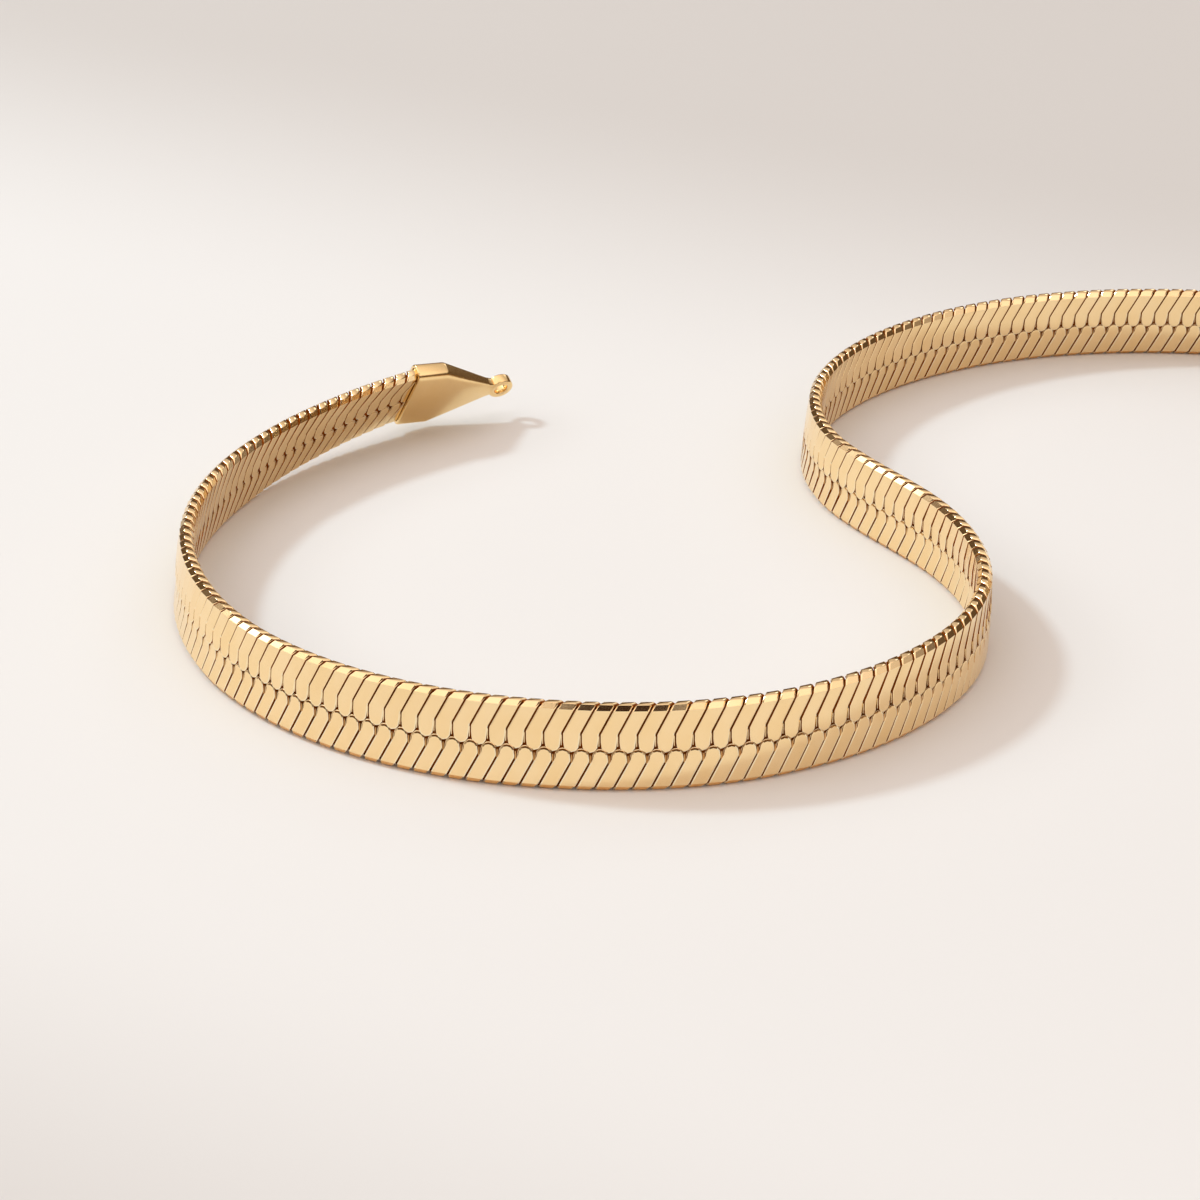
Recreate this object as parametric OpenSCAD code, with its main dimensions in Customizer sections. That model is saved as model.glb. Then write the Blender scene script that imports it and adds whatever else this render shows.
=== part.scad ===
// Herringbone necklace: a flat woven band of slanted links that stands on its
// long edge, with a tapered cap at each end and a plain clasp in one cap's eye.
// Millimetres. The floor is z = 0 and the origin is under the middle of the
// whole necklace. Seen from above, the band starts at its free end, turns left
// round a loop, swings back the other way and comes round in front of it.

/* [Band] */
// Length of the woven band along its middle
band_length = 380; // [364:4:440]
// Width of the band, which is its height as it stands
band_height = 5.5; // [4:0.5:7]
// Thickness of the woven band
band_thickness = 0.9; // [0.7:0.1:1.3]
// Bevel along the four long edges
edge_bevel = 0.16; // [0.08:0.02:0.26]
// Width of the groove where the two rows of links meet
groove_width = 0.7; // [0.4:0.1:1.2]
// Depth of that groove on each face
groove_depth = 0.1; // [0.05:0.05:0.2]

/* [End caps] */
// Length of the square part of a cap
cap_body_length = 2.4; // [1.6:0.1:6]
// Length of the tapered part of a cap
cap_taper_length = 4.3; // [3:0.1:6]
// Length of the narrow neck, from the taper to the middle of the eye
cap_neck_length = 1.2; // [1:0.1:3]
// Height of the narrow neck
cap_neck_height = 1.5; // [1.1:0.1:1.6]
// How far a cap stands proud of the band's edges, above and below
cap_overhang = 0.2; // [0.1:0.05:0.4]
// How far a cap stands proud of the band's faces, on each side
cap_wall = 0.3; // [0.2:0.05:0.5]
// Clearance between a cap and the end of the band
cap_gap = 0.15; // [0.1:0.05:0.3]
// Outer radius of the eye at the tip of a cap
eye_radius = 0.95; // [0.85:0.05:1.2]
// Radius of the hole in the eye
eye_hole_radius = 0.5; // [0.45:0.05:0.55]
// Thickness of the eye
eye_thickness = 0.8; // [0.6:0.1:1]

/* [Clasp] */
// Radius of the wire of the clasp's loop
loop_wire_radius = 0.3; // [0.2:0.05:0.35]
// Clearance round the rim of the eye inside the loop
loop_clearance = 0.2; // [0.15:0.05:0.4]
// Width of the clasp
clasp_width = 4.6; // [4:0.2:6]
// Length of the clasp's frame, without its loop
clasp_frame_length = 8; // [7:0.5:12]
// Width of the metal round the clasp's opening
clasp_rim = 1.1; // [0.8:0.1:1.3]
// Thickness of the clasp
clasp_thickness = 1.4; // [1:0.1:1.8]

/* [How it lies] */
// Lean of the band at its free end, towards the inside of the loop
free_end_lean = 33; // [0:1:36]
// Lean of the front stretch about its upper edge, towards the inside of the loop
front_lean = 7; // [0:1:10]
// Lean of the far stretch, towards the front
far_lean = 8; // [0:1:12]
// Height of the free end above the floor
free_end_lift = 1; // [0:0.1:2]
// Turn of the free cap against the band
free_cap_turn = 12; // [0:1:16]

/* [Hidden] */
gold = [0.94, 0.80, 0.55];
gold_shade = [0.86, 0.70, 0.44];
$fn = 48;

// Route of the band: distance from the free end, and heading there. Headings
// are degrees anticlockwise from +X, seen from above.
route = [
  [0, -142], [6, -131], [14, -118], [26, -95], [38, -69], [50, -45],
  [62, -19], [74, 0], [86, 29], [98, 60], [110, 102], [122, 132],
  [134, 91], [146, 56], [158, 30], [170, 7], [182, -12], [230, -90],
  [298, -90], [352, -180]
];
// Each change of heading is spread over this distance to either side.
route_blend = 4;
// Shares of the three leans and of the lift along the band, and of the rise
// that seats the last stretch level with its cap.
free_lean_shares = [[0, 1], [16, 0.52], [32, 0.22], [48, 0]];
front_lean_shares = [[30, 0], [44, 1], [64, 1], [84, 0]];
far_lean_shares = [[110, 0], [134, 0.7], [152, 1], [188, 1], [216, 0]];
free_lift_shares = [[0, 1], [8, 0.4], [16, 0]];
seat_shares = [[320, 0], [360, 1]];

// Longest step from one section of the band to the next.
section_step = 2.5;
section_count = ceil(band_length / section_step);
section_gap = band_length / section_count;

function heading(s) =
  (lookup(s - route_blend, route) + lookup(s, route) + lookup(s + route_blend, route)) / 3;
function front_part_of_lean(s) = front_lean * lookup(s, front_lean_shares);
// Lean to the left of the way along the band.
function lean(s) =
  free_end_lean * lookup(s, free_lean_shares) + front_part_of_lean(s)
  - far_lean * lookup(s, far_lean_shares);
// The front stretch keeps its upper edge over the route, so its foot stands to the right.
function foot_shift(s) = -band_height * sin(front_part_of_lean(s));
// A leaning band stands on the corner of its lower edge.
function base_height(s) =
  free_end_lift * lookup(s, free_lift_shares) + cap_overhang * lookup(s, seat_shares)
  + (band_thickness / 2 - edge_bevel) * abs(sin(lean(s)));
function step_along(s) = section_gap * [cos(heading(s)), sin(heading(s))];

// The route of the band, seen from above, before it is centred.
loose_path = [
  for (i = 0, p = [0, 0]; i <= section_count;
       p = p + step_along((i + 0.5) * section_gap), i = i + 1) p
];

// Points across the band to its left and up it, turned by the lean.
function section_point(origin, s, across, up) =
  let (
    h = heading(s),
    a = lean(s),
    side = foot_shift(s) + across * cos(a) + up * sin(a)
  )
  [
    origin[0] - sin(h) * side,
    origin[1] + cos(h) * side,
    base_height(s) + up * cos(a) - across * sin(a)
  ];

// Outline of the band's section: bevelled corners and a groove on each face.
half_thickness = band_thickness / 2;
half_height = band_height / 2;
half_groove = groove_width / 2;
right_half_section = [
  [half_thickness - edge_bevel, 0],
  [half_thickness, edge_bevel],
  [half_thickness, half_height - half_groove],
  [half_thickness - groove_depth, half_height],
  [half_thickness, half_height + half_groove],
  [half_thickness, band_height - edge_bevel],
  [half_thickness - edge_bevel, band_height]
];
half_count = len(right_half_section);
band_section = concat(
  right_half_section,
  [for (i = [half_count - 1 : -1 : 0]) [-right_half_section[i][0], right_half_section[i][1]]]
);
corner_count = len(band_section);

loose_points = [
  for (i = [0 : section_count], corner = band_section)
    section_point(loose_path[i], i * section_gap, corner[0], corner[1])
];

// Both caps are the same size.
cap_height = band_height + 2 * cap_overhang;
cap_thickness = band_thickness + 2 * cap_wall;
cap_taper_end = cap_body_length + cap_taper_length;
cap_eye_distance = cap_taper_end + cap_neck_length;

// The clasp's loop is just large enough for the rim of the eye.
loop_hole_radius = max(
  (eye_radius - loop_wire_radius) / 2 + loop_clearance,
  eye_thickness / 2 + loop_clearance * 2
);
loop_radius = loop_hole_radius + loop_wire_radius;
frame_start = loop_radius * 2 - loop_wire_radius;
clasp_reach = frame_start + clasp_frame_length;
eye_height = cap_height / 2;
// The clasp hangs from the eye and its far end rests on the floor.
clasp_drop = asin((eye_height - clasp_thickness / 2) / clasp_reach);

// The last section, where the hidden cap sits.
end_point = loose_path[section_count];
end_heading = heading(band_length);
clasp_eye_point = end_point
  + (cap_gap + cap_eye_distance) * [cos(end_heading), sin(end_heading)];
// The clasp's left side, which reaches furthest to the front.
clasp_side = clasp_eye_point
  + clasp_width / 2 * [-sin(end_heading), cos(end_heading)];

// The whole necklace is centred on the origin.
all_x = [for (p = loose_points) p[0]];
all_y = concat([for (p = loose_points) p[1]], [clasp_side[1]]);
middle = [(min(all_x) + max(all_x)) / 2, (min(all_y) + max(all_y)) / 2];

module herringbone_band() {
  points = [for (p = loose_points) [p[0] - middle[0], p[1] - middle[1], p[2]]];
  // Two triangles for each edge of the outline between neighbouring sections.
  sides = [
    for (i = [0 : section_count - 1], j = [0 : corner_count - 1])
      let (
        near = i * corner_count,
        far = near + corner_count,
        next = (j + 1) % corner_count
      )
      each [
        [near + j, near + next, far + next],
        [near + j, far + next, far + j]
      ]
  ];
  first_end = [for (j = [corner_count - 1 : -1 : 0]) j];
  last_end = [for (j = [0 : corner_count - 1]) section_count * corner_count + j];
  color(gold) polyhedron(points, concat(sides, [first_end, last_end]), convexity = 20);
}

// A cap lies along +X from its mouth, standing on its lower edge.
module cap_outline_from_side() {
  tip = cap_eye_distance;
  neck_low = eye_height - cap_neck_height / 2;
  neck_high = eye_height + cap_neck_height / 2;
  polygon([
    [0, 0],
    [cap_body_length, 0],
    [cap_taper_end, neck_low],
    [tip, neck_low],
    [tip, neck_high],
    [cap_taper_end, neck_high],
    [cap_body_length, cap_height],
    [0, cap_height]
  ]);
}

module cap_outline_from_above() {
  tip = cap_eye_distance;
  polygon([
    [0, -cap_thickness / 2],
    [cap_body_length, -cap_thickness / 2],
    [cap_taper_end, -eye_thickness / 2],
    [tip, -eye_thickness / 2],
    [tip, eye_thickness / 2],
    [cap_taper_end, eye_thickness / 2],
    [cap_body_length, cap_thickness / 2],
    [0, cap_thickness / 2]
  ]);
}

module end_cap() {
  difference() {
    union() {
      intersection() {
        translate([0, cap_thickness / 2, 0]) rotate([90, 0, 0])
          linear_extrude(cap_thickness) cap_outline_from_side();
        linear_extrude(cap_height) cap_outline_from_above();
      }
      translate([cap_eye_distance, eye_thickness / 2, eye_height]) rotate([90, 0, 0])
        cylinder(h = eye_thickness, r = eye_radius);
    }
    translate([cap_eye_distance, cap_thickness, eye_height]) rotate([90, 0, 0])
      cylinder(h = cap_thickness * 2, r = eye_hole_radius);
  }
}

// The free cap lies beyond the start of the band and turns away from the loop.
module free_end_cap() {
  start = loose_path[0] - middle;
  away = heading(0) + 180;
  mouth = cap_gap + cap_thickness / 2 * sin(free_cap_turn);
  color(gold)
    translate([start[0], start[1], base_height(0)])
      rotate([0, 0, away]) rotate([lean(0), 0, 0])
        translate([mouth, 0, -cap_overhang]) rotate([0, 0, -free_cap_turn])
          end_cap();
}

module clasp_end_cap() {
  place = end_point - middle;
  color(gold)
    translate([place[0], place[1], 0]) rotate([0, 0, end_heading])
      translate([cap_gap, 0, 0]) end_cap();
}

module clasp_frame_outline(inset) {
  round_radius = clasp_width / 2 - inset;
  first = frame_start + clasp_width / 2;
  last = clasp_reach - clasp_width / 2;
  translate([first, 0]) circle(r = round_radius);
  translate([last, 0]) circle(r = round_radius);
  translate([first, -round_radius]) square([last - first, round_radius * 2]);
}

// The clasp lies along +X from the middle of the eye that holds it.
module clasp() {
  place = clasp_eye_point - middle;
  color(gold_shade)
    translate([place[0], place[1], eye_height])
      rotate([0, 0, end_heading]) rotate([0, clasp_drop, 0]) {
        translate([loop_radius, 0, 0])
          rotate_extrude() translate([loop_radius, 0]) circle(r = loop_wire_radius);
        translate([0, 0, -clasp_thickness / 2]) linear_extrude(clasp_thickness)
          difference() {
            clasp_frame_outline(0);
            clasp_frame_outline(clasp_rim);
          }
      }
}

herringbone_band();
free_end_cap();
clasp_end_cap();
clasp();
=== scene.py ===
import math

import bmesh
import bpy
from mathutils import Matrix, Vector


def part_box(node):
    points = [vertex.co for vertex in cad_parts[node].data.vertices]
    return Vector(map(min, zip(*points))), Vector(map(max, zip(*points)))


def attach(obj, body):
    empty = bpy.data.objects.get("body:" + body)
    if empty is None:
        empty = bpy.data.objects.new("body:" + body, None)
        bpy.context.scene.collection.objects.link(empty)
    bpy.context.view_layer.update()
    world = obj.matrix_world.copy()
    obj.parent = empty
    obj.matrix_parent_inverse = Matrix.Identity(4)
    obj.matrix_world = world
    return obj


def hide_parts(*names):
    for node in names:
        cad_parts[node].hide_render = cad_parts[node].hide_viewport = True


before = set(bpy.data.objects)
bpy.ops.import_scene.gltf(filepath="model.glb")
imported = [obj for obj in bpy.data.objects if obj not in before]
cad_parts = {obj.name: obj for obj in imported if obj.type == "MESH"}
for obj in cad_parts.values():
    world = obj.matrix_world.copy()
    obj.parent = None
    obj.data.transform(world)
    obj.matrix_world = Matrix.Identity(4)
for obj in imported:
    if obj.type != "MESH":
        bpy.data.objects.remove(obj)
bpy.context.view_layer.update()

# Pieces are modelled in millimetres and scaled to the frame's metres when they are finished.
MM = 0.001

# Camera: a 93 mm lens looking along +Y and down at the necklace.
CAMERA_PLACE = (-25.22, -156.9, 90.72)
CAMERA_DOWN_DEG = 26.38
LENS_MM = 93.0
SENSOR_MM = 36.0

# The woven band, with the sizes and the route of the part's source.
BAND_LENGTH = 380.0
BAND_HEIGHT = 5.5
BAND_THICKNESS = 0.9
EDGE_BEVEL = 0.16
FREE_END_LEAN = 33.0
FRONT_LEAN = 7.0
FAR_LEAN = 8.0
FREE_END_LIFT = 1.0
# Each table's rows: millimetres along the band, then the heading there in degrees, or the share of
# a lean, a lift or a seat.
ROUTE = [
    (0, -142), (6, -131), (14, -118), (26, -95), (38, -69), (50, -45),
    (62, -19), (74, 0), (86, 29), (98, 60), (110, 102), (122, 132),
    (134, 91), (146, 56), (158, 30), (170, 7), (182, -12), (230, -90),
    (298, -90), (352, -180),
]
ROUTE_BLEND = 4.0
FREE_LEAN_SHARES = [(0, 1), (16, 0.52), (32, 0.22), (48, 0)]
FRONT_LEAN_SHARES = [(30, 0), (44, 1), (64, 1), (84, 0)]
FAR_LEAN_SHARES = [(110, 0), (134, 0.7), (152, 1), (188, 1), (216, 0)]
FREE_LIFT_SHARES = [(0, 1), (8, 0.4), (16, 0)]
SEAT_SHARES = [(320, 0), (360, 1)]
SECTION_STEP = 2.5
SECTION_COUNT = math.ceil(BAND_LENGTH / SECTION_STEP)
SECTION_GAP = BAND_LENGTH / SECTION_COUNT

# The end caps and the clasp, with the sizes of the part's source.
CAP_BODY_LENGTH = 2.4
CAP_TAPER_LENGTH = 4.3
CAP_NECK_LENGTH = 1.2
CAP_NECK_HEIGHT = 1.5
CAP_OVERHANG = 0.2
CAP_WALL = 0.3
CAP_GAP = 0.15
CAP_TAPER_END = CAP_BODY_LENGTH + CAP_TAPER_LENGTH
CAP_EYE_DISTANCE = CAP_TAPER_END + CAP_NECK_LENGTH
CAP_HEIGHT = BAND_HEIGHT + 2 * CAP_OVERHANG
CAP_THICKNESS = BAND_THICKNESS + 2 * CAP_WALL
EYE_RADIUS = 0.95
EYE_HOLE_RADIUS = 0.5
EYE_THICKNESS = 0.8
FREE_CAP_TURN = 12.0
LOOP_WIRE_RADIUS = 0.3
LOOP_HOLE_RADIUS = 0.8
LOOP_RADIUS = LOOP_HOLE_RADIUS + LOOP_WIRE_RADIUS
CLASP_WIDTH = 4.6
CLASP_FRAME_LENGTH = 8.0
CLASP_RIM = 1.1
CLASP_THICKNESS = 1.4
CLASP_REACH = 2 * LOOP_RADIUS - LOOP_WIRE_RADIUS + CLASP_FRAME_LENGTH

# Rounding of the caps' and the clasp's edges, and the recess that takes the band's end.
CAP_ROUNDING = 0.55
CAP_EDGE_ROUNDING = 0.1
EYE_ROUNDING = 0.12
CLASP_ROUNDING = 0.3
MOUTH_RIM = 0.14
MOUTH_DEPTH = 0.9
RING_STEPS = 32
RING_ROUNDING_STEPS = 3
CAP_ROUNDING_STEPS = 5
CAP_EDGE_ROUNDING_STEPS = 2
LOOP_WIRE_SIDES = 12
# How much of a cap's neck is left, along, across and up, where it meets the eye.
NECK_END_SHARES = (1, 0.9, 0.8)
# Faces that meet at less than these angles are shaded as one smooth surface.
SMOOTH_ANGLE_DEG = 60.0
CLASP_SMOOTH_ANGLE_DEG = 40.0

# How far the links reach past the band's ends into the caps.
MOUTH_REACH = 0.8

# The links: flat slanted strips with a round lobe at each end, folded over an edge of the band.
# A row's phase is counted along the band from the origin, and the slant is in pitches a millimetre.
LINK_PITCH = 1.0767
LINK_ORIGIN = 45.37
STRIP_SLANT = 0.448
NECK_STEP = 0.04
LOBE_STEPS = 6
LOBE_FULLNESS = 0.85
LEAF_THICKNESS = 0.25
RIM_WIDTH = 0.065
RIM_DROP = 0.02
CREST_RIM_DROP = 0.08
CREST_NARROWING = 0.94
ACUTE_CORNER_CUT = 0.06
OBTUSE_CORNER_CUT = 0.02
# Share of a corner's cut that is left at the end of the rounding.
SHOULDER_CUT_SHARE = 0.35
# The fold from the middle of the crest to the top of the face: outwards and up.
FOLD_CORNERS = [(0.0, 0.0), (0.15, 0.0), (0.23, -0.04), (0.45, -0.32)]
# Each row: its phase, its seams' width and its lobes' sizes. Phases, offsets and half widths are in
# pitches. The widest place and the end of a lobe are runs from the middle of the crest.
UPPER_ROW = {
    "phase": 0.86, "seam": 0.125, "offset": 0.955, "half_width": 0.43, "widest": 2.60, "end": 3.29,
    "upper": True,
}
LOWER_ROW = {
    "phase": 0.44, "seam": 0.135, "offset": 1.03, "half_width": 0.4, "widest": 2.36, "end": 2.93,
    "upper": False,
}
# Small turns and tones of the links, spread evenly by the golden share.
GOLDEN_SHARE = 0.618034
LINK_TILT_DEG = 0.5

# Round wires in the weave: one over each lower lobe, and one in each slot between two lobes.
WIRE_SINK = 0.015
COLLAR_GAP = 0.04
COLLAR_RADIUS = 0.027
COLLAR_TURN_DEG = 145.0
COLLAR_LEG = 0.25
COLLAR_STEPS = 8
COLLAR_SIDES = 5
SLOT_WIRE_SIDES = 6
# Radius, place beside the slot's middle, start and length of the wire in each row's slots.
UPPER_SLOT_WIRE = (0.034, -0.026, 2.2, 0.66)
LOWER_SLOT_WIRE = (0.045, 0.05, 2.12, 0.5)

# The core reaches a little into the leaves, and stays this far from the band's edges.
CORE_OVERLAP = 0.01
CORE_INSET = 0.42

# Distances and directions that count as the same, the shortest edge that runs along a piece, and
# the turn in radians that makes a corner.
SAME = 1e-4
CUT_DISTANCE = 1e-5
STRAIGHT = 0.999
LONG_EDGE = 1.0
CORNER_TURN = 1.0

# The wear on the golds: scales of its noises, and how much each one counts.
CLOUD_SCALE = 650.0
GRAIN_SCALE = 7000.0
LINE_SCALE = 2500.0
LINE_STRETCH = 9.0
TONE_SHARE = 0.3
DEEP_GOLD_FROM = 0.35
LINE_WEAR = 0.12
LINE_HEIGHT = 0.5
WEAR_DEPTH_M = 0.000002
BUMP_STRENGTH = 0.6

# Light: a window-like key light behind on the left, in the light of a pale room.
KEY_AZIMUTH_DEG = 151.0
KEY_HEIGHT_DEG = 44.0
KEY_DISTANCE = 0.85
KEY_SIZE = 0.11
KEY_POWER = 2.62
KEY_COLOUR = (0.68, 0.89, 1.0)
FRONT_ROOM_COLOUR = (1.34, 1.19, 1.11, 1)
BACK_ROOM_COLOUR = (0.65, 0.56, 0.51, 1)
LOW_ROOM_COLOUR = (0.11, 0.07, 0.04, 1)
DARK_PATCH_COLOUR = (0.03, 0.010, 0.002, 1)
WINDOW_COLOUR = (3.0, 3.0, 3.0, 1)
DIM_WINDOW_COLOUR = (1.8, 1.8, 1.8, 1)
# The room by direction: where each region is centred, the cosines at its soft edge, its colour.
ROOM_REGIONS = (
    ((-0.3, -0.8, 0.52), -0.3, 0.7, FRONT_ROOM_COLOUR),
    ((0.0, 0.0, -1.0), -0.50, -0.34, LOW_ROOM_COLOUR),
    ((0.0, -0.588, 0.809), 0.966, 0.984, DARK_PATCH_COLOUR),
    ((0.433, 0.75, 0.5), 0.985, 0.995, DIM_WINDOW_COLOUR),
    ((-0.815, 0.265, 0.515), 0.988, 0.995, WINDOW_COLOUR),
    ((-0.874, -0.038, 0.485), 0.986, 0.9925, WINDOW_COLOUR),
)

# The floor's colour is painted with a lit stretch between two soft edges and painted shade outside it.
# Each edge has the place where the painted light is full and the place where it is gone, in metres
# along the normal.
BEAM_NORMAL = Vector((0.48, 0.877, 0.0))
BEAM_FAR_EDGE = (0.041, 0.110)
BEAM_NEAR_EDGE = (-0.032, -0.078)
FLOOR_HALF_SIDE_M = 3.0
FLOOR_COLOUR = (0.825, 0.815, 0.797, 1)
FLOOR_SHADE_COLOUR = (0.64, 0.608, 0.578, 1)
FLOOR_ROUGHNESS = 0.7
FLOOR_SPECULAR = 0.2

# Places in a link's list of materials: its face, its seam walls painted dark as shade, the rim on its
# right side as seen from outside painted paler as a highlight, and the fold of a lower link painted
# orange as glow in its contact shade. Where a piece is cut off it takes the second.
FACE, WALL, EDGE, UNDER = 0, 1, 2, 3


# The route of the band

def lookup(distance, table):
    """The value at a distance along the band, on straight lines between a table's rows."""
    if distance <= table[0][0]:
        return table[0][1]
    for (start, low), (end, high) in zip(table, table[1:]):
        if distance <= end:
            return low + (high - low) * (distance - start) / (end - start)
    return table[-1][1]


def heading(distance):
    around = (distance - ROUTE_BLEND, distance, distance + ROUTE_BLEND)
    return sum(lookup(d, ROUTE) for d in around) / len(around)


def front_part_of_lean(distance):
    return FRONT_LEAN * lookup(distance, FRONT_LEAN_SHARES)


def lean(distance):
    """Degrees to the left of the way along the band."""
    free = FREE_END_LEAN * lookup(distance, FREE_LEAN_SHARES)
    far = FAR_LEAN * lookup(distance, FAR_LEAN_SHARES)
    return free + front_part_of_lean(distance) - far


def foot_shift(distance):
    """The front stretch keeps its upper edge over the route, so its foot stands to the right."""
    return -BAND_HEIGHT * math.sin(math.radians(front_part_of_lean(distance)))


def base_height(distance):
    lift = FREE_END_LIFT * lookup(distance, FREE_LIFT_SHARES)
    seat = CAP_OVERHANG * lookup(distance, SEAT_SHARES)
    corner = (BAND_THICKNESS / 2 - EDGE_BEVEL) * abs(math.sin(math.radians(lean(distance))))
    return lift + seat + corner


def way(distance):
    turn = math.radians(heading(distance))
    return Vector((math.cos(turn), math.sin(turn)))


def section_points():
    """The band's route at each section, seen from above and not yet centred."""
    points = [Vector((0.0, 0.0))]
    for i in range(SECTION_COUNT):
        points.append(points[-1] + SECTION_GAP * way((i + 0.5) * SECTION_GAP))
    return points


def band_turn(distance):
    """Turns X to the way along the band, Y to its left and Z up its leaning face, from its foot."""
    turn = Matrix.Rotation(math.radians(heading(distance)), 4, "Z")
    foot = Matrix.Translation((0, foot_shift(distance), 0))
    return turn @ foot @ Matrix.Rotation(math.radians(-lean(distance)), 4, "X")


def centred_sections():
    """The section points, moved so that the band fills its CAD node's box."""
    points = section_points()
    half = BAND_THICKNESS / 2
    corners = [(side * half, up) for side in (-1, 1) for up in (EDGE_BEVEL, BAND_HEIGHT - EDGE_BEVEL)]
    corners += [(side * (half - EDGE_BEVEL), up) for side in (-1, 1) for up in (0.0, BAND_HEIGHT)]
    places = [
        point.to_3d() + band_turn(i * SECTION_GAP) @ Vector((0.0, across, up))
        for i, point in enumerate(points) for across, up in corners
    ]
    low = Vector((min(p.x for p in places), min(p.y for p in places)))
    node_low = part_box("herringbone_band")[0]
    return [point - low + Vector((node_low.x, node_low.y)) / MM for point in points]


SECTIONS = centred_sections()


def band_point(distance):
    """A point on a smooth curve through the section points, which runs straight on past both ends."""
    if distance < 0:
        return SECTIONS[0] + distance * way(0)
    if distance >= BAND_LENGTH:
        return SECTIONS[-1] + (distance - BAND_LENGTH) * way(BAND_LENGTH)
    i = int(distance / SECTION_GAP)
    t = distance / SECTION_GAP - i
    start, end = SECTIONS[i], SECTIONS[i + 1]
    first_handle = start + SECTION_GAP / 3 * way(i * SECTION_GAP)
    second_handle = end - SECTION_GAP / 3 * way((i + 1) * SECTION_GAP)
    s = 1 - t
    return s**3 * start + 3 * s * s * t * first_handle + 3 * s * t * t * second_handle + t**3 * end


def band_place(distance):
    """Where something stands on the band: X along it, Y to its left and Z up its face."""
    point = band_point(distance)
    return Matrix.Translation((point.x, point.y, base_height(distance))) @ band_turn(distance)


def curvature(distance):
    """Radians that the band turns left in a millimetre."""
    return math.radians(heading(distance + 1) - heading(distance - 1)) / 2


# Links

def strip_outline(row):
    """One half of a link cut flat, from one lobe's inner shoulder round its end to the other.
    x runs along the band in pitches, and the run from the middle of the crest in millimetres."""
    half_strip = 0.5 - row["seam"] / LINK_PITCH / 2
    left_neck_run = (row["offset"] + row["half_width"] - half_strip) / STRIP_SLANT
    right_neck_run = left_neck_run - NECK_STEP
    left_neck = (-row["offset"] - row["half_width"], left_neck_run)
    right_neck = (half_strip - STRIP_SLANT * right_neck_run, right_neck_run)
    reach = row["end"] - row["widest"]
    arc = []
    for i in range(LOBE_STEPS + 1):
        turn = math.pi * i / LOBE_STEPS
        across = math.copysign(abs(math.cos(turn)) ** LOBE_FULLNESS, math.cos(turn))
        along = abs(math.sin(turn)) ** LOBE_FULLNESS
        arc.append((-row["offset"] - row["half_width"] * across, row["widest"] + reach * along))
    return [left_neck] + arc + [right_neck]


def fold_runs():
    """How far along the fold each of its corners lies."""
    corners = [Vector(corner) for corner in FOLD_CORNERS]
    runs = [0.0]
    for start, end in zip(corners, corners[1:]):
        runs.append(runs[-1] + (end - start).length)
    return runs


FOLD_RUNS = fold_runs()


def fold_normals():
    """The outward normal of each straight stretch of the fold, the face's last."""
    corners = [Vector(corner) for corner in FOLD_CORNERS]
    ways = [(end - start).normalized() for start, end in zip(corners, corners[1:])]
    return [Vector((-way_on.y, way_on.x)) for way_on in ways] + [Vector((1.0, 0.0))]


FOLD_NORMALS = fold_normals()


def fold(flat):
    """Folds a point of a flat link over the band's upper edge. Its z is minus its depth."""
    x, run, depth = flat
    side = -1 if run > 0 else 1
    run = abs(run)
    stretch = sum(run > corner + SAME for corner in FOLD_RUNS[1:])
    corner = Vector(FOLD_CORNERS[stretch])
    normal = FOLD_NORMALS[stretch]
    along = Vector((normal.y, -normal.x))
    place = corner + along * (run - FOLD_RUNS[stretch])
    next_run = FOLD_RUNS[stretch + 1] if stretch + 1 < len(FOLD_RUNS) else None
    if next_run is not None and abs(run - next_run) < SAME:
        next_normal = FOLD_NORMALS[stretch + 1]
        normal = (normal + next_normal) / (1 + normal.dot(next_normal))
    place += depth * normal
    return Vector((x, side * place.x, BAND_HEIGHT + place.y))


def make_flat_link(row):
    """A link before it is folded: a flat leaf with seam walls and a sunken rim round its face."""
    bm = bmesh.new()
    half = [(x * LINK_PITCH, run) for x, run in strip_outline(row)]
    outline = half + [(-x, -run) for x, run in half]
    face = bm.faces.new([bm.verts.new((x, run, -LEAF_THICKNESS)) for x, run in outline])
    face.normal_update()
    if face.normal.z < 0:
        face.normal_flip()
    made = bmesh.ops.extrude_face_region(bm, geom=[face], use_keep_orig=True)
    top = [item for item in made["geom"] if isinstance(item, bmesh.types.BMFace)]
    lift = (0, 0, LEAF_THICKNESS - RIM_DROP)
    bmesh.ops.translate(bm, vec=lift, verts=list({v for f in top for v in f.verts}))
    bmesh.ops.recalc_face_normals(bm, faces=bm.faces)
    # Walls and seams take the seam shade: dark brown painted where the seams lie in shade.
    for wall in bm.faces:
        wall.material_index = WALL
    rims = bmesh.ops.inset_region(
        bm, faces=top, thickness=RIM_WIDTH, depth=RIM_DROP, use_even_offset=True
    )
    for shown in top:
        shown.material_index = FACE
    # The rims on the right side as seen from outside take a paler gold: a painted highlight, as if
    # their rounded edge caught the light.
    for rim in rims["faces"]:
        middle = rim.calc_center_median()
        forward = across_strip(middle) * middle.y > 0
        rim.material_index = EDGE if forward == row["upper"] else FACE
    return bm


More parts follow.
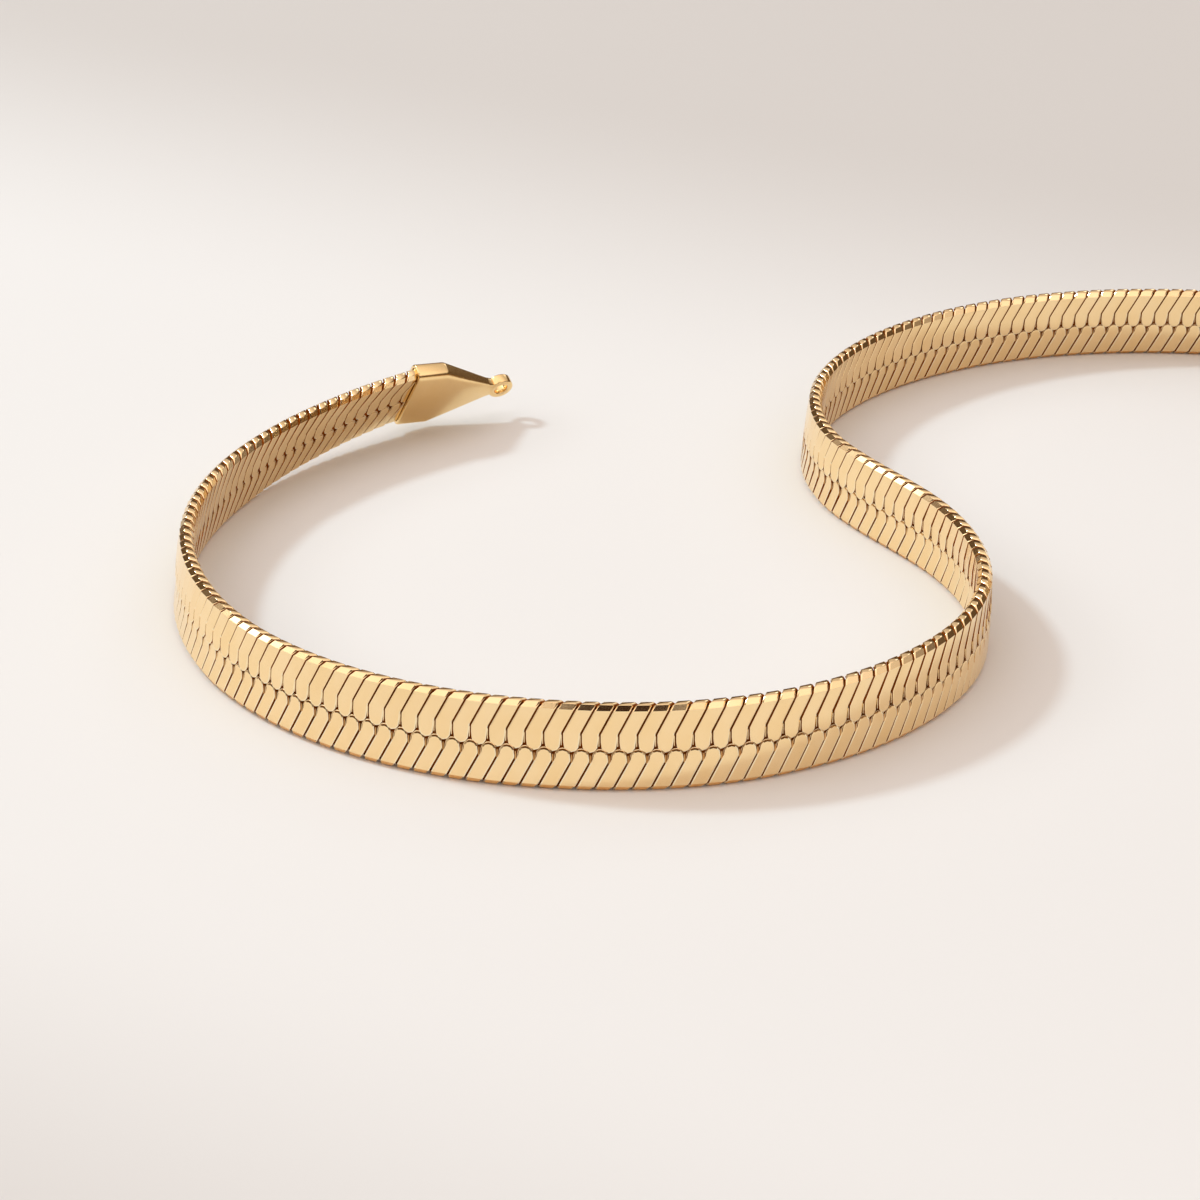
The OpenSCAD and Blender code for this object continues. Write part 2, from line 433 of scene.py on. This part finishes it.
def make_link(row):
    """A link folded over the upper edge, with the middle of its crest over the origin."""
    bm = make_flat_link(row)
    for run in FOLD_RUNS[1:]:
        for side in (-1, 1):
            cut_at(bm, (0, side * run, 0), (0, 1, 0))
    shape_crest(bm)
    for shown in bm.faces:
        distance = abs(shown.calc_center_median().y)
        shown.smooth = distance < FOLD_RUNS[2] and shown.material_index != WALL
        # The fold under a lower link takes a warmer gold: painted orange glow, as gold light reflected
        # into the shade where the band meets the floor.
        if not row["upper"] and distance < FOLD_RUNS[3] and shown.material_index == FACE:
            shown.material_index = UNDER
    for v in bm.verts:
        v.co = fold(v.co)
    # The fold mirrors the shape, so its faces are turned to look outwards again.
    bmesh.ops.reverse_faces(bm, faces=bm.faces)
    return bm


def across_strip(flat):
    """How far right of its strip's slanted middle line a point of a flat link lies."""
    return flat.x + STRIP_SLANT * LINK_PITCH * flat.y


def cut_at(bm, place, normal, clear=False):
    """Cuts everything with a plane, and with clear takes away what lies past it and closes the cut."""
    made = bmesh.ops.bisect_plane(
        bm, geom=bm.verts[:] + bm.edges[:] + bm.faces[:], plane_co=place, plane_no=normal,
        dist=CUT_DISTANCE, clear_outer=clear
    )
    if clear:
        edges = [item for item in made["geom_cut"] if isinstance(item, bmesh.types.BMEdge)]
        closing = bmesh.ops.holes_fill(bm, edges=edges, sides=0)
        for face in closing["faces"]:
            face.material_index = WALL


def shape_crest(bm):
    """Rounds a flat link's sides and corners off where they cross the crest."""
    for v in bm.verts:
        if abs(v.co.y) > FOLD_RUNS[2] + SAME:
            continue
        side = math.copysign(1.0, across_strip(v.co))
        cut = ACUTE_CORNER_CUT if side * v.co.y > 0 else OBTUSE_CORNER_CUT
        if abs(v.co.y) > FOLD_RUNS[1] + SAME:
            cut *= SHOULDER_CUT_SHARE
        v.co.x -= side * cut
        if abs(v.co.z + RIM_DROP) < SAME:
            v.co.z = -CREST_RIM_DROP
        elif abs(v.co.z) < SAME:
            v.co.x *= CREST_NARROWING


def turn_over(bm):
    """Turns what is folded over the band's upper edge half round, on to the lower edge."""
    middle = Matrix.Translation((0, 0, BAND_HEIGHT / 2))
    half_turn = middle @ Matrix.Rotation(math.pi, 4, "Y") @ middle.inverted()
    bmesh.ops.transform(bm, matrix=half_turn, verts=bm.verts)


def lay_row(link, phase, turned=False):
    """A whole row of copies of a link or a wire along the band, cut off just inside the caps."""
    if turned:
        turn_over(link)
    row = bmesh.new()
    tone = row.faces.layers.float.new("link_tone")
    start = (LINK_ORIGIN / LINK_PITCH + phase) % 1.0
    reach = max(abs(v.co.x) for v in link.verts)
    low, high = -MOUTH_REACH, BAND_LENGTH + MOUTH_REACH
    first = math.floor((low - reach) / LINK_PITCH - start)
    last = math.ceil((high + reach) / LINK_PITCH - start)
    for k in range(first, last + 1):
        distance = (start + k) * LINK_PITCH
        copy = link.copy()
        if distance - reach < low:
            cut_at(copy, (low - distance, 0, 0), (-1, 0, 0), clear=True)
        if distance + reach > high:
            cut_at(copy, (high - distance, 0, 0), (1, 0, 0), clear=True)
        place_link(copy, distance, k)
        mesh = bpy.data.meshes.new("link")
        copy.to_mesh(mesh)
        copy.free()
        made = len(row.faces)
        row.from_mesh(mesh)
        bpy.data.meshes.remove(mesh)
        row.faces.ensure_lookup_table()
        for face in row.faces[made:]:
            face[tone] = (k * GOLDEN_SHARE) % 1.0
    link.free()
    return row


def place_link(copy, distance, k):
    """Moves one link to its place, squeezed on the inside of a bend and stretched on the outside."""
    turned, leaning = curvature(distance), math.radians(lean(distance))
    foot = foot_shift(distance)
    for v in copy.verts:
        left = foot + v.co.y * math.cos(leaning) + v.co.z * math.sin(leaning)
        v.co.x *= 1 - turned * left
    swing = math.radians(LINK_TILT_DEG) * ((k * GOLDEN_SHARE * 2) % 1.0 - 0.5)
    place = band_place(distance) @ Matrix.Rotation(swing, 4, "Z")
    bmesh.ops.transform(copy, matrix=place, verts=copy.verts)


def both_sides_folded(bm, radius):
    """Sinks a flat wire just below the face, adds its copy for the other face and folds both."""
    bmesh.ops.translate(bm, vec=(0, 0, -radius - WIRE_SINK), verts=bm.verts)
    copy = bmesh.ops.duplicate(bm, geom=bm.verts[:] + bm.edges[:] + bm.faces[:])
    verts = [item for item in copy["geom"] if isinstance(item, bmesh.types.BMVert)]
    bmesh.ops.rotate(bm, matrix=Matrix.Rotation(math.pi, 3, "Z"), verts=verts)
    for v in bm.verts:
        v.co = fold(v.co)
    bmesh.ops.recalc_face_normals(bm, faces=bm.faces)
    return bm


def make_collar(row):
    """A thin wire up one side of each lobe of a link and over its end."""
    bm = bmesh.new()
    outside = COLLAR_GAP + COLLAR_RADIUS
    across = row["half_width"] * LINK_PITCH + outside
    made = bmesh.ops.create_circle(bm, segments=COLLAR_SIDES, radius=COLLAR_RADIUS)
    upright = Matrix.Translation((across, 0, 0)) @ Matrix.Rotation(math.pi / 2, 4, "X")
    bmesh.ops.transform(bm, matrix=upright, verts=made["verts"])
    bmesh.ops.spin(
        bm, geom=bm.verts[:] + bm.edges[:], cent=(0, 0, 0), axis=(0, 0, 1),
        angle=math.radians(COLLAR_TURN_DEG), steps=COLLAR_STEPS
    )
    reach = row["end"] - row["widest"] + outside
    bmesh.ops.scale(bm, vec=(1, reach / across, 1), verts=bm.verts)
    first_end = [e for e in bm.edges if e.is_boundary and e.verts[0].co.x > 0]
    legs = bmesh.ops.extrude_edge_only(bm, edges=first_end)
    ends = [item for item in legs["geom"] if isinstance(item, bmesh.types.BMVert)]
    bmesh.ops.translate(bm, vec=(0, -COLLAR_LEG, 0), verts=ends)
    bmesh.ops.holes_fill(bm, edges=[e for e in bm.edges if e.is_boundary], sides=0)
    centre = (-row["offset"] * LINK_PITCH, row["widest"], 0)
    bmesh.ops.translate(bm, vec=centre, verts=bm.verts)
    return both_sides_folded(bm, COLLAR_RADIUS)


def make_slot_wire(row, wire):
    """A short round wire in the slot beside each lobe."""
    bm = bmesh.new()
    radius, beside, start, length = wire
    across = beside - (row["offset"] + 0.5) * LINK_PITCH
    place = Matrix.Translation((across, start + length / 2, 0))
    bmesh.ops.create_cone(
        bm, cap_ends=True, segments=SLOT_WIRE_SIDES, radius1=radius, radius2=radius, depth=length,
        matrix=place @ Matrix.Rotation(math.pi / 2, 4, "X")
    )
    return both_sides_folded(bm, radius)


def runs_along(edge):
    """Whether an edge is one of the long ones that run along X."""
    return abs(edge.verts[0].co.x - edge.verts[1].co.x) > LONG_EDGE


def make_core():
    """The inside of the weave, between the front and the back leaves, painted dark brown as the shade
    in it.
    """
    bm = bmesh.new()
    length = BAND_LENGTH + 2 * MOUTH_REACH
    half = BAND_THICKNESS / 2 - LEAF_THICKNESS + CORE_OVERLAP
    low, high = CORE_INSET, BAND_HEIGHT - CORE_INSET
    size = Matrix.Diagonal((length, 2 * half, high - low, 1))
    middle = Matrix.Translation((BAND_LENGTH / 2, 0, (low + high) / 2))
    bmesh.ops.create_cube(bm, size=1.0, matrix=middle @ size)
    long_edges = [e for e in bm.edges if runs_along(e)]
    bmesh.ops.subdivide_edges(bm, edges=long_edges, cuts=2 * SECTION_COUNT, use_grid_fill=True)
    for v in bm.verts:
        v.co = band_place(v.co.x) @ Vector((0, v.co.y, v.co.z))
    return bm


# Caps and clasp

def bevel(bm, edges, width, segments):
    bmesh.ops.bevel(
        bm, geom=edges, offset=width, offset_type="OFFSET", segments=segments,
        profile=0.5, affect="EDGES", material=-1, clamp_overlap=True
    )


def facing(bm, direction):
    """The one face that looks straight in a direction and reaches furthest that way."""
    looking = [f for f in bm.faces if f.normal.dot(direction) > STRAIGHT]
    return max(looking, key=lambda f: f.calc_center_median().dot(direction))


def add_ring(bm, place, inner, outer, thickness, rounding, stretch=0.0):
    """A flat ring round a place's Z, with rounded edges. A stretch makes it longer along X."""
    ring = bmesh.new()
    made = bmesh.ops.create_grid(ring, x_segments=1, y_segments=1, size=0.5)
    bmesh.ops.scale(ring, vec=(outer - inner, thickness, 1), verts=made["verts"])
    upright = Matrix.Translation(((inner + outer) / 2, 0, 0)) @ Matrix.Rotation(math.pi / 2, 4, "X")
    bmesh.ops.transform(ring, matrix=upright, verts=ring.verts)
    bmesh.ops.delete(ring, geom=ring.faces[:], context="FACES_ONLY")
    bmesh.ops.spin(
        ring, geom=ring.verts[:] + ring.edges[:], cent=(0, 0, 0), axis=(0, 0, 1),
        angle=2 * math.pi, steps=RING_STEPS, use_merge=True
    )
    bmesh.ops.recalc_face_normals(ring, faces=ring.faces)
    corners = [e for e in ring.edges if e.calc_face_angle(0) > CORNER_TURN]
    bevel(ring, corners, rounding, RING_ROUNDING_STEPS)
    for v in ring.verts:
        if v.co.x > SAME:
            v.co.x += stretch
    bmesh.ops.transform(ring, matrix=place, verts=ring.verts)
    mesh = bpy.data.meshes.new("ring")
    ring.to_mesh(mesh)
    ring.free()
    bm.from_mesh(mesh)
    bpy.data.meshes.remove(mesh)


def make_cap():
    """A cap along +X from its mouth, standing on its lower edge."""
    bm = bmesh.new()
    middle = Matrix.Translation((CAP_TAPER_END / 2, 0, CAP_HEIGHT / 2))
    size = Matrix.Diagonal((CAP_TAPER_END, CAP_THICKNESS, CAP_HEIGHT, 1))
    bmesh.ops.create_cube(bm, size=1.0, matrix=middle @ size)
    bevel(bm, [e for e in bm.edges if runs_along(e)], CAP_ROUNDING, CAP_ROUNDING_STEPS)
    cut_at(bm, (CAP_BODY_LENGTH, 0, 0), (1, 0, 0))
    to_middle = Matrix.Translation((0, 0, -CAP_HEIGHT / 2))
    neck_size = (1, EYE_THICKNESS / CAP_THICKNESS, CAP_NECK_HEIGHT / CAP_HEIGHT)
    end = facing(bm, Vector((1, 0, 0)))
    bmesh.ops.scale(bm, vec=neck_size, space=to_middle, verts=end.verts)
    made = bmesh.ops.extrude_discrete_faces(bm, faces=[end])
    end = made["faces"][0]
    neck = CAP_EYE_DISTANCE - (EYE_RADIUS + EYE_HOLE_RADIUS) / 2 - CAP_TAPER_END
    bmesh.ops.translate(bm, vec=(neck, 0, 0), verts=end.verts)
    bmesh.ops.scale(bm, vec=NECK_END_SHARES, space=to_middle, verts=end.verts)
    bmesh.ops.recalc_face_normals(bm, faces=bm.faces)
    rings = [
        e for e in bm.edges
        if abs(e.verts[0].co.x - e.verts[1].co.x) < SAME and e.verts[0].co.x < CAP_TAPER_END + SAME
    ]
    bevel(bm, rings, CAP_EDGE_ROUNDING, CAP_EDGE_ROUNDING_STEPS)
    sink_mouth(bm)
    eye_middle = Matrix.Translation((CAP_EYE_DISTANCE, 0, CAP_HEIGHT / 2))
    eye_place = eye_middle @ Matrix.Rotation(math.pi / 2, 4, "X")
    add_ring(bm, eye_place, EYE_HOLE_RADIUS, EYE_RADIUS, EYE_THICKNESS, EYE_ROUNDING)
    return bm


def sink_mouth(bm):
    """Sinks a cap's mouth, which takes the end of the band."""
    mouth = facing(bm, Vector((-1, 0, 0)))
    bmesh.ops.inset_region(bm, faces=[mouth], thickness=MOUTH_RIM, use_even_offset=True)
    made = bmesh.ops.extrude_discrete_faces(bm, faces=[mouth])
    floor = made["faces"][0]
    bmesh.ops.translate(bm, vec=(MOUTH_DEPTH, 0, 0), verts=floor.verts)
    # The mouth's floor and walls take the seam shade: dark brown painted as the shade in the recess.
    for face in [floor] + [f for edge in floor.edges for f in edge.link_faces]:
        face.material_index = WALL


def free_cap_place():
    start = SECTIONS[0]
    mouth = CAP_GAP + CAP_THICKNESS / 2 * math.sin(math.radians(FREE_CAP_TURN))
    return (
        Matrix.Translation((start.x, start.y, base_height(0)))
        @ Matrix.Rotation(math.radians(heading(0) + 180), 4, "Z")
        @ Matrix.Rotation(math.radians(lean(0)), 4, "X")
        @ Matrix.Translation((mouth, 0, -CAP_OVERHANG))
        @ Matrix.Rotation(math.radians(-FREE_CAP_TURN), 4, "Z")
    )


def clasp_cap_place():
    end = SECTIONS[-1]
    turn = Matrix.Rotation(math.radians(heading(BAND_LENGTH)), 4, "Z")
    return Matrix.Translation((end.x, end.y, 0)) @ turn @ Matrix.Translation((CAP_GAP, 0, 0))


def clasp_place():
    drop = math.asin((CAP_HEIGHT / 2 - CLASP_THICKNESS / 2) / CLASP_REACH)
    eye = clasp_cap_place() @ Matrix.Translation((CAP_EYE_DISTANCE, 0, CAP_HEIGHT / 2))
    return eye @ Matrix.Rotation(drop, 4, "Y")


def make_clasp():
    """The clasp along +X from the middle of the eye that holds it: a wire loop and a flat frame."""
    bm = bmesh.new()
    made = bmesh.ops.create_circle(bm, segments=LOOP_WIRE_SIDES, radius=LOOP_WIRE_RADIUS)
    upright = Matrix.Translation((LOOP_RADIUS, 0, 0)) @ Matrix.Rotation(math.pi / 2, 4, "X")
    bmesh.ops.transform(bm, matrix=upright, verts=made["verts"])
    bmesh.ops.spin(
        bm, geom=bm.verts[:] + bm.edges[:], cent=(0, 0, 0), axis=(0, 0, 1),
        angle=2 * math.pi, steps=RING_STEPS, use_merge=True
    )
    bmesh.ops.recalc_face_normals(bm, faces=bm.faces)
    bmesh.ops.translate(bm, vec=(LOOP_RADIUS, 0, 0), verts=bm.verts)
    half = CLASP_WIDTH / 2
    stretch = CLASP_FRAME_LENGTH - CLASP_WIDTH
    frame_place = Matrix.Translation((CLASP_REACH - CLASP_FRAME_LENGTH + half, 0, 0))
    add_ring(bm, frame_place, half - CLASP_RIM, half, CLASP_THICKNESS, CLASP_ROUNDING, stretch)
    return bm


def finish_piece(name, bm, materials, replaced, smooth_angle=None):
    """Makes a piece of a bmesh in millimetres, at the origin of the frame in metres."""
    bmesh.ops.scale(bm, vec=(MM, MM, MM), verts=bm.verts)
    mesh = bpy.data.meshes.new(name)
    bm.to_mesh(mesh)
    bm.free()
    piece = bpy.data.objects.new(name, mesh)
    bpy.context.scene.collection.objects.link(piece)
    for material in materials:
        mesh.materials.append(material)
    if smooth_angle is not None:
        mesh.shade_smooth()
        mesh.set_sharp_from_angle(angle=math.radians(smooth_angle))
    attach(piece, "root")
    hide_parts(*replaced)
    return piece


# Materials

def add_node(tree, kind, inputs=None, **settings):
    """Adds a node. Its inputs are sockets to link or constant values, by name or by number."""
    node = tree.nodes.new(kind)
    for name, value in settings.items():
        setattr(node, name, value)
    for name, value in (inputs or {}).items():
        if isinstance(value, bpy.types.NodeSocket):
            tree.links.new(value, node.inputs[name])
        else:
            node.inputs[name].default_value = value
    return node


def mix_colours(tree, share, first, second):
    """A colour between two others. The numbers are the places of the node's colour sockets."""
    mixed = add_node(tree, "ShaderNodeMix", {0: share, 6: first, 7: second}, data_type="RGBA")
    return mixed.outputs[2]


def soft_step(tree, value, start, end):
    """A share that rises softly from nothing at the start to one at the end."""
    step = add_node(
        tree, "ShaderNodeMapRange", {"Value": value, "From Min": start, "From Max": end},
        interpolation_type="SMOOTHSTEP"
    )
    return step.outputs["Result"]


def add_share(tree, value, share, base):
    """A base value with a share of another one added."""
    total = add_node(
        tree, "ShaderNodeMath", {0: value, 1: share, 2: base}, operation="MULTIPLY_ADD"
    )
    return total.outputs[0]


def new_group(name, inputs, outputs):
    """A node group, with its input node and its output node."""
    tree = bpy.data.node_groups.new(name, "ShaderNodeTree")
    for title, kind in inputs.items():
        tree.interface.new_socket(title, in_out="INPUT", socket_type=kind)
    for title, kind in outputs.items():
        tree.interface.new_socket(title, in_out="OUTPUT", socket_type=kind)
    return tree, tree.nodes.new("NodeGroupInput"), tree.nodes.new("NodeGroupOutput")


def make_gold_group():
    """Two golds in soft clouds and by link, with fine wear in the roughness and the height."""
    tree, given, result = new_group(
        "gold_wear",
        {"Coordinate": "NodeSocketVector", "Tone": "NodeSocketFloat", "Gold": "NodeSocketColor",
         "Deep Gold": "NodeSocketColor", "Roughness": "NodeSocketFloat"},
        {"Color": "NodeSocketColor", "Roughness": "NodeSocketFloat", "Height": "NodeSocketFloat"},
    )
    place = given.outputs["Coordinate"]
    clouds = add_node(
        tree, "ShaderNodeTexNoise", {"Vector": place, "Scale": CLOUD_SCALE, "Detail": 2.0}
    )
    grain = add_node(
        tree, "ShaderNodeTexNoise", {"Vector": place, "Scale": GRAIN_SCALE, "Detail": 3.0}
    )
    stretched = add_node(
        tree, "ShaderNodeMapping", {"Vector": place, "Scale": (1.0, 1.0, LINE_STRETCH)}
    )
    lines = add_node(
        tree, "ShaderNodeTexNoise",
        {"Vector": stretched.outputs["Vector"], "Scale": LINE_SCALE, "Detail": 4.0, "Roughness": 0.7}
    )
    deep_share = add_node(
        tree, "ShaderNodeMapRange",
        {"Value": add_share(tree, given.outputs["Tone"], TONE_SHARE, clouds.outputs["Fac"]),
         "From Min": DEEP_GOLD_FROM, "From Max": 1.0}
    )
    colour = mix_colours(
        tree, deep_share.outputs["Result"], given.outputs["Gold"], given.outputs["Deep Gold"]
    )
    worn = add_share(tree, lines.outputs["Fac"], LINE_WEAR, given.outputs["Roughness"])
    height = add_share(tree, lines.outputs["Fac"], LINE_HEIGHT, grain.outputs["Fac"])
    tree.links.new(colour, result.inputs["Color"])
    tree.links.new(worn, result.inputs["Roughness"])
    tree.links.new(height, result.inputs["Height"])
    return tree


GOLD_WEAR = make_gold_group()


def gold_material(name, gold, deep_gold, roughness, metallic=1.0, specular=0.1):
    """A gold whose colour, roughness and surface come from the shared wear."""
    material = bpy.data.materials.new(name)
    material.use_nodes = True
    tree = material.node_tree
    shader = tree.nodes["Principled BSDF"]
    place = add_node(tree, "ShaderNodeTexCoord")
    tone = add_node(tree, "ShaderNodeAttribute", attribute_name="link_tone")
    wear = add_node(tree, "ShaderNodeGroup", node_tree=GOLD_WEAR)
    tree.links.new(place.outputs["Object"], wear.inputs["Coordinate"])
    tree.links.new(tone.outputs["Fac"], wear.inputs["Tone"])
    wear.inputs["Gold"].default_value = (*gold, 1)
    wear.inputs["Deep Gold"].default_value = (*deep_gold, 1)
    wear.inputs["Roughness"].default_value = roughness
    surface = add_node(
        tree, "ShaderNodeBump",
        {"Height": wear.outputs["Height"], "Strength": BUMP_STRENGTH, "Distance": WEAR_DEPTH_M}
    )
    shader.inputs["Metallic"].default_value = metallic
    shader.inputs["Specular IOR Level"].default_value = specular
    tree.links.new(wear.outputs["Color"], shader.inputs["Base Color"])
    tree.links.new(wear.outputs["Roughness"], shader.inputs["Roughness"])
    tree.links.new(surface.outputs["Normal"], shader.inputs["Normal"])
    return material


polished_gold = gold_material("polished_gold", (1.0, 0.765, 0.44), (0.97, 0.71, 0.37), 0.07)
# A paler gold painted on one side's rims of the links, as a highlight.
painted_highlight_rim_gold = gold_material("painted_highlight_rim_gold", (1.0, 0.86, 0.58), (1.0, 0.82, 0.52), 0.12)
# An orange gold painted on the lower links' folds, as glow of gold light reflected into their contact
# shade.
painted_glow_gold = gold_material(
    "painted_glow_gold", (1.0, 0.62, 0.25), (0.96, 0.56, 0.20), 0.25, metallic=0.75
)
# Dark brown, not metal, painted on the seam walls, the core and the caps' mouths as the shade in them.
seam_shade = gold_material(
    "seam_shade", (0.46, 0.12, 0.010), (0.29, 0.072, 0.006), 0.7, metallic=0.0, specular=0.0
)
wire_gold = gold_material("wire_gold", (0.98, 0.76, 0.46), (0.92, 0.66, 0.34), 0.2)
# A darker brown gold painted on the wires deep in the lower slots, as the shade there.
painted_shade_wire_gold = gold_material("painted_shade_wire_gold", (0.80, 0.45, 0.17), (0.64, 0.33, 0.11), 0.3)
cap_gold = gold_material("cap_gold", (0.96, 0.70, 0.35), (0.92, 0.64, 0.29), 0.14)
clasp_gold = gold_material("clasp_gold", (0.94, 0.69, 0.35), (0.90, 0.63, 0.30), 0.18)


# Stage, camera and light

def add_camera():
    camera = bpy.data.objects.new("camera", bpy.data.cameras.new("camera"))
    bpy.context.scene.collection.objects.link(camera)
    camera.location = Vector(CAMERA_PLACE) * MM
    camera.rotation_euler = (math.radians(90 - CAMERA_DOWN_DEG), 0, 0)
    camera.data.lens = LENS_MM
    camera.data.sensor_width = SENSOR_MM
    camera.data.clip_start = 0.01
    camera.data.clip_end = 10.0
    bpy.context.scene.camera = camera


def floor_material():
    """A pale matt floor, with painted shade outside a lit stretch between two soft edges."""
    material = bpy.data.materials.new("pale_floor")
    material.use_nodes = True
    tree = material.node_tree
    shader = tree.nodes["Principled BSDF"]
    place = add_node(tree, "ShaderNodeTexCoord")
    across = add_node(
        tree, "ShaderNodeVectorMath", {0: place.outputs["Object"], 1: BEAM_NORMAL},
        operation="DOT_PRODUCT"
    )
    far_shade = soft_step(tree, across.outputs["Value"], *BEAM_FAR_EDGE)
    near_shade = soft_step(tree, across.outputs["Value"], *BEAM_NEAR_EDGE)
    shade = add_node(tree, "ShaderNodeMath", {0: far_shade, 1: near_shade}, operation="MAXIMUM")
    colour = mix_colours(tree, shade.outputs[0], FLOOR_COLOUR, FLOOR_SHADE_COLOUR)
    tree.links.new(colour, shader.inputs["Base Color"])
    shader.inputs["Roughness"].default_value = FLOOR_ROUGHNESS
    shader.inputs["Specular IOR Level"].default_value = FLOOR_SPECULAR
    return material


def add_floor():
    bm = bmesh.new()
    bmesh.ops.create_grid(bm, x_segments=1, y_segments=1, size=FLOOR_HALF_SIDE_M)
    mesh = bpy.data.meshes.new("floor")
    bm.to_mesh(mesh)
    bm.free()
    floor = bpy.data.objects.new("floor", mesh)
    bpy.context.scene.collection.objects.link(floor)
    mesh.materials.append(floor_material())


def make_room_group():
    """The room's light by direction: each region's colour laid softly over the ones before."""
    tree, given, result = new_group(
        "room_light", {"Direction": "NodeSocketVector"}, {"Color": "NodeSocketColor"}
    )
    colour = BACK_ROOM_COLOUR
    for middle, outer, inner, shade in ROOM_REGIONS:
        near = add_node(
            tree, "ShaderNodeVectorMath",
            {0: given.outputs["Direction"], 1: Vector(middle).normalized()}, operation="DOT_PRODUCT"
        )
        colour = mix_colours(tree, soft_step(tree, near.outputs["Value"], outer, inner), colour, shade)
    tree.links.new(colour, result.inputs["Color"])
    return tree


def add_room_light():
    world = bpy.data.worlds.new("studio")
    bpy.context.scene.world = world
    world.use_nodes = True
    tree = world.node_tree
    place = add_node(tree, "ShaderNodeTexCoord")
    room = add_node(tree, "ShaderNodeGroup", node_tree=make_room_group())
    tree.links.new(place.outputs["Generated"], room.inputs["Direction"])
    tree.links.new(room.outputs["Color"], tree.nodes["Background"].inputs["Color"])


def add_key_light():
    azimuth, height = math.radians(KEY_AZIMUTH_DEG), math.radians(KEY_HEIGHT_DEG)
    towards = Vector((
        math.cos(azimuth) * math.cos(height), math.sin(azimuth) * math.cos(height), math.sin(height)
    ))
    data = bpy.data.lights.new("key", "AREA")
    data.shape = "DISK"
    data.size = KEY_SIZE
    data.energy = KEY_POWER
    data.color = KEY_COLOUR
    light = bpy.data.objects.new("key", data)
    bpy.context.scene.collection.objects.link(light)
    light.location = towards * KEY_DISTANCE
    light.rotation_euler = towards.to_track_quat("Z", "Y").to_euler()


# The necklace

def add_wires(name, wires, row, gold):
    """One row of round wires in the weave, all of one gold, as a piece of the band."""
    laid = lay_row(wires, row["phase"], turned=not row["upper"])
    finish_piece(name, laid, [gold, gold], ["herringbone_band"], SMOOTH_ANGLE_DEG)


def add_band():
    """The two rows of links, the wires between them and the core, painted dark as shade."""
    band = ["herringbone_band"]
    link_golds = [polished_gold, seam_shade, painted_highlight_rim_gold, painted_glow_gold]
    upper = lay_row(make_link(UPPER_ROW), UPPER_ROW["phase"])
    finish_piece("upper_links", upper, link_golds, band)
    lower = lay_row(make_link(LOWER_ROW), LOWER_ROW["phase"], turned=True)
    finish_piece("lower_links", lower, link_golds, band)
    add_wires("lobe_wires", make_collar(LOWER_ROW), LOWER_ROW, wire_gold)
    add_wires("upper_slot_wires", make_slot_wire(UPPER_ROW, UPPER_SLOT_WIRE), UPPER_ROW, wire_gold)
    # The wires in the lower slots are painted darker, as shade.
    add_wires("lower_slot_wires", make_slot_wire(LOWER_ROW, LOWER_SLOT_WIRE), LOWER_ROW, painted_shade_wire_gold)
    finish_piece("band_core", make_core(), [seam_shade], band, SMOOTH_ANGLE_DEG)


def add_cap(name, node, place):
    cap = make_cap()
    bmesh.ops.transform(cap, matrix=place, verts=cap.verts)
    finish_piece(name, cap, [cap_gold, seam_shade], [node], SMOOTH_ANGLE_DEG)


def add_clasp():
    clasp = make_clasp()
    bmesh.ops.transform(clasp, matrix=clasp_place(), verts=clasp.verts)
    finish_piece("clasp_body", clasp, [clasp_gold], ["clasp"], CLASP_SMOOTH_ANGLE_DEG)


add_camera()
add_band()
add_cap("free_cap_body", "free_end_cap", free_cap_place())
add_cap("clasp_cap_body", "clasp_end_cap", clasp_cap_place())
add_clasp()
add_floor()
add_room_light()
add_key_light()
bpy.context.scene.view_settings.view_transform = "Standard"
